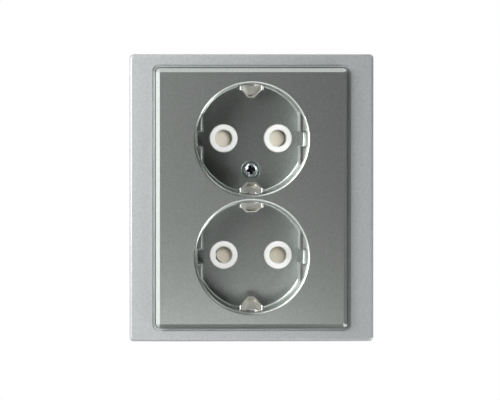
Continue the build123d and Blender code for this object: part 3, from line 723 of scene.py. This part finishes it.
class SOCKET_OT_cover_screw(bpy.types.Operator):
    """Model the cover screw, with its domed head, cross recess and thread"""

    bl_idname = "socket.cover_screw"
    bl_label = "Cover screw"

    def execute(self, context):
        sizes = context.scene.socket_screw
        finishes = context.scene.socket_finishes
        zinc = metal("cover_screw_zinc", finishes.zinc, finishes.polished_roughness, EVEN)
        # The cross recess's walls get a near-black zinc: painted shade in the recess, not a real
        # duller plating
        recess_painted_shade = metal("cross_recess_painted_shade", finishes.painted_shade_zinc, finishes.dull_roughness, EVEN)
        low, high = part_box("cover_screw")
        length = high.y - low.y
        screw = self.turned_body(sizes, (high.x - low.x) / 2, length)
        screw.data.materials.append(zinc)
        self.cut_cross(screw, sizes, recess_painted_shade)
        self.add_thread(screw, sizes, length - sizes.head_height)
        screw.rotation_euler.x = math.pi / 2
        screw.location = ((low.x + high.x) / 2, low.y, (low.z + high.z) / 2)
        select_only(screw)
        bpy.ops.object.transform_apply(location=True, rotation=True, scale=True)
        soften(screw, context.scene.socket_edges.stamped)
        stand_in(screw, "cover_screw")
        return {"FINISHED"}

    def turned_body(self, sizes, head_radius, length):
        """The core and the head, from the tip up to the dome's crest at z = 0."""
        core = sizes.shank_radius - sizes.thread_depth
        seat = -sizes.head_height
        dome_height = sizes.head_height - sizes.head_edge
        rings = [(core - sizes.thread_depth, -length), (core, sizes.thread_depth - length)]
        rings += [(core, seat), (head_radius, seat)]
        for step in range(DOME_RINGS):
            turn = math.pi / 2 * step / DOME_RINGS
            rings.append((head_radius * math.cos(turn), dome_height * (math.sin(turn) - 1)))
        return lathe("cover_screw_dressed", rings)

    def cut_cross(self, screw, sizes, material):
        """A tapered cross recess, cut one arm at a time, whose walls take the cutter's near-black
        material as painted shade.
        """
        for quarter in (0, math.pi / 2):
            bpy.ops.mesh.primitive_cone_add(
                vertices=CUTTER_SIDES,
                radius1=sizes.cross_taper / math.sqrt(2),
                radius2=1 / math.sqrt(2),
                depth=sizes.cross_depth,
                rotation=(0, 0, math.pi / 4),
            )
            arm = bpy.context.object
            bpy.ops.object.transform_apply(location=False, rotation=True, scale=False)
            arm.location.z = -sizes.cross_depth / 2
            arm.scale = (sizes.cross_span, sizes.cross_width, 1.0)
            arm.rotation_euler.z = sizes.cross_turn + quarter
            arm.data.materials.append(material)
            cut = screw.modifiers.new("cross", "BOOLEAN")
            cut.operation = "DIFFERENCE"
            cut.material_mode = "TRANSFER"
            cut.object = arm
            select_only(screw)
            bpy.ops.object.modifier_apply(modifier=cut.name)
            bpy.data.objects.remove(arm)

    def add_thread(self, screw, sizes, length):
        """A ridge wound round the core, from near the tip to the seat."""
        core = sizes.shank_radius - sizes.thread_depth
        start = sizes.thread_depth + sizes.thread_pitch - sizes.head_height - length
        bpy.ops.mesh.primitive_circle_add(
            vertices=RIDGE_SIDES,
            radius=sizes.thread_depth,
            location=(core, 0, start),
            rotation=(math.pi / 2, math.pi / 2, 0),
        )
        thread = bpy.context.object
        bpy.ops.object.transform_apply(location=True, rotation=True, scale=False)
        winding = thread.modifiers.new("winding", "SCREW")
        winding.screw_offset = sizes.thread_pitch
        winding.iterations = int(length / sizes.thread_pitch) - BARE_TURNS
        winding.steps = winding.render_steps = THREAD_STEPS
        bpy.ops.object.modifier_apply(modifier=winding.name)
        select_only(screw)
        thread.select_set(True)
        bpy.ops.object.join()


# Soft boxes as (name, place, width and height, radiance)
LAMPS = (
    ("key_left", (-0.34, -0.36, 0.13), (0.30, 0.36), 7.8),
    ("front_left", (-0.22, -0.42, 0.06), (0.12, 0.30), 0.85),
    ("top_left", (-0.13, -0.23, 0.43), (0.16, 0.16), 3.6),
    ("edge_left", (-0.50, -0.06, -0.04), (0.12, 0.30), 0.7),
    ("low_front", (-0.02, -0.26, -0.11), (0.12, 0.06), 2.7),
    ("low_right", (0.37, -0.19, -0.26), (0.16, 0.16), 12.0),
)
# A soft box for the white rings and their shutters alone, in the same form
RING_LAMP = ("ring_fill", (0.10, -0.48, 0.10), (0.20, 0.20), 14.2)
# Black cards as (name, place, width and height)
FLAGS = (
    ("flag_front", (0.0, -0.80, 0.0), (1.2, 1.2)),
    ("flag_right", (0.70, -0.30, 0.0), (0.9, 1.0)),
    ("flag_top", (0.0, -0.38, 0.60), (0.6, 0.6)),
    ("flag_low", (0.0, -0.02, -0.20), (0.14, 0.06)),
)


def add_lamp(name, location, size, radiance):
    """A soft box whose face shines with this radiance, turned to the socket's front."""
    bpy.ops.object.light_add(type="AREA", location=location)
    lamp = bpy.context.object
    lamp.name = name
    lamp.rotation_euler = (FRONT_CENTRE - lamp.location).to_track_quat("-Z", "Y").to_euler()
    lamp.data.shape = "RECTANGLE"
    lamp.data.size, lamp.data.size_y = size
    lamp.data.energy = radiance * math.pi * size[0] * size[1]
    lamp.visible_camera = False
    return lamp


class SOCKET_OT_studio(bpy.types.Operator):
    """Build the floor, the lamps, the white surroundings and the camera"""

    bl_idname = "socket.studio"
    bl_label = "Studio"

    def execute(self, context):
        studio = context.scene.socket_studio
        self.add_floor(studio)
        self.add_lamps()
        self.add_flags()
        self.add_surroundings(context, studio)
        self.add_camera(context, studio)
        context.scene.view_settings.view_transform = "Standard"
        return {"FINISHED"}

    def add_floor(self, studio):
        """A square floor well under the socket."""
        height = CAD_BOX[0][2] - studio.floor_drop
        bpy.ops.mesh.primitive_plane_add(size=studio.floor_size, location=(0, 0, height))
        floor = bpy.context.object
        floor.name = "studio_floor"
        floor.data.materials.append(self.floor_material(studio))

    def floor_material(self, studio):
        """White that keeps the shadow, and shows mostly as the background does."""
        material, shader = new_material("floor_white", FLOOR_WHITE, 0.0, FLOOR_ROUGHNESS)
        tree = material.node_tree
        white = add_node(tree, "ShaderNodeEmission", Color=WHITE, Strength=1.0)
        pale = add_node(tree, "ShaderNodeMixShader", Fac=studio.floor_paleness)
        mix = tree.nodes.new("ShaderNodeMixShader")
        tree.links.new(shader.outputs["BSDF"], pale.inputs[1])
        tree.links.new(white.outputs["Emission"], pale.inputs[2])
        tree.links.new(background_rays(tree), mix.inputs["Fac"])
        tree.links.new(shader.outputs["BSDF"], mix.inputs[1])
        tree.links.new(pale.outputs["Shader"], mix.inputs[2])
        tree.links.new(mix.outputs["Shader"], tree.nodes["Material Output"].inputs["Surface"])
        return material

    def add_lamps(self):
        """Soft boxes for the socket, and one that shines on the white plastic alone."""
        plastics = bpy.data.collections.new("white_plastics")
        others = bpy.data.collections.new("all_but_white_plastics")
        for place in SOCKETS:
            for node in (f"shutter_housing_{place}", f"shutter_{place}"):
                plastics.objects.link(bpy.data.objects[f"{node}_dressed"])
                others.objects.link(bpy.data.objects[f"{node}_dressed"])
        for member in others.collection_objects:
            member.light_linking.link_state = "EXCLUDE"
        for lamp in LAMPS:
            add_lamp(*lamp).light_linking.receiver_collection = others
        add_lamp(*RING_LAMP).light_linking.receiver_collection = plastics

    def add_flags(self):
        """Black cards out of the picture, which give the metal its dark zones."""
        material, _ = new_material("flag_black", FLAG_BLACK, 0.0, FLAG_ROUGHNESS)
        for name, location, size in FLAGS:
            bpy.ops.mesh.primitive_plane_add(size=1.0, location=location)
            flag = bpy.context.object
            flag.name = name
            flag.scale = (*size, 1.0)
            flag.rotation_euler = (FRONT_CENTRE - flag.location).to_track_quat("Z", "Y").to_euler()
            flag.visible_camera = False
            flag.data.materials.append(material)

    def add_surroundings(self, context, studio):
        """White to the camera and in reflections, and a plain grey level as light."""
        world = context.scene.world or bpy.data.worlds.new("surroundings")
        context.scene.world = world
        world.use_nodes = True
        tree = world.node_tree
        tree.nodes.clear()
        room = add_node(tree, "ShaderNodeBackground", Color=WHITE, Strength=studio.room_light)
        white = add_node(tree, "ShaderNodeBackground", Color=WHITE, Strength=1.0)
        mix = tree.nodes.new("ShaderNodeMixShader")
        output = tree.nodes.new("ShaderNodeOutputWorld")
        tree.links.new(background_rays(tree), mix.inputs["Fac"])
        tree.links.new(room.outputs["Background"], mix.inputs[1])
        tree.links.new(white.outputs["Background"], mix.inputs[2])
        tree.links.new(mix.outputs["Shader"], output.inputs["Surface"])

    def add_camera(self, context, studio):
        """A distant camera, a little to the left of the socket and above it."""
        turn, lift, reach = studio.camera_azimuth, studio.camera_elevation, studio.camera_distance
        target = FRONT_CENTRE - Vector((studio.offset_right, 0, studio.offset_up))
        level = math.cos(lift)
        back = Vector((-math.sin(turn) * level, -math.cos(turn) * level, math.sin(lift)))
        bpy.ops.object.camera_add(location=target + reach * back)
        camera = bpy.context.object
        camera.name = "camera"
        camera.rotation_euler = (-back).to_track_quat("-Z", "Y").to_euler()
        camera.data.sensor_fit = "HORIZONTAL"
        camera.data.sensor_width = SENSOR_WIDTH
        camera.data.lens = SENSOR_WIDTH * reach / (IMAGE_WIDTH * studio.pixel)
        context.scene.camera = camera


class SOCKET_PT_panel(bpy.types.Panel):
    """Lists the socket's sizes, colours and building steps"""

    bl_idname = "SOCKET_PT_panel"
    bl_label = "Double socket"
    bl_space_type = "VIEW_3D"
    bl_region_type = "UI"
    bl_category = "Socket"

    def draw(self, context):
        scene = context.scene
        for group in (getattr(scene, name) for name in GROUPS):
            box = self.layout.box()
            for name in group.__annotations__:
                box.prop(group, name)
        for step in STEPS:
            self.layout.operator(step.bl_idname)


STEPS = (
    SOCKET_OT_frame,
    SOCKET_OT_cover,
    SOCKET_OT_pockets,
    SOCKET_OT_cover_screw,
    SOCKET_OT_earthing,
    SOCKET_OT_shutters,
    SOCKET_OT_base,
    SOCKET_OT_mounting,
    SOCKET_OT_contacts,
    SOCKET_OT_keys,
    SOCKET_OT_studio,
)
GROUPS = {
    "socket_finishes": SocketFinishes,
    "socket_edges": SocketEdges,
    "socket_pockets": SocketPockets,
    "socket_screw": SocketScrew,
    "socket_studio": SocketStudio,
}
CLASSES = (*GROUPS.values(), *STEPS, SOCKET_PT_panel)


def register():
    """Adds the panel, the operators and their properties."""
    for made in CLASSES:
        bpy.utils.register_class(made)
    for name, group in GROUPS.items():
        setattr(bpy.types.Scene, name, bpy.props.PointerProperty(type=group))


def unregister():
    """Takes them away again."""
    for name in GROUPS:
        delattr(bpy.types.Scene, name)
    for made in reversed(CLASSES):
        bpy.utils.unregister_class(made)


def main():
    """Builds the pieces and the studio in order."""
    register()
    for step in STEPS:
        group, name = step.bl_idname.split(".")
        getattr(getattr(bpy.ops, group), name)()


if __name__ == "__main__":
    main()
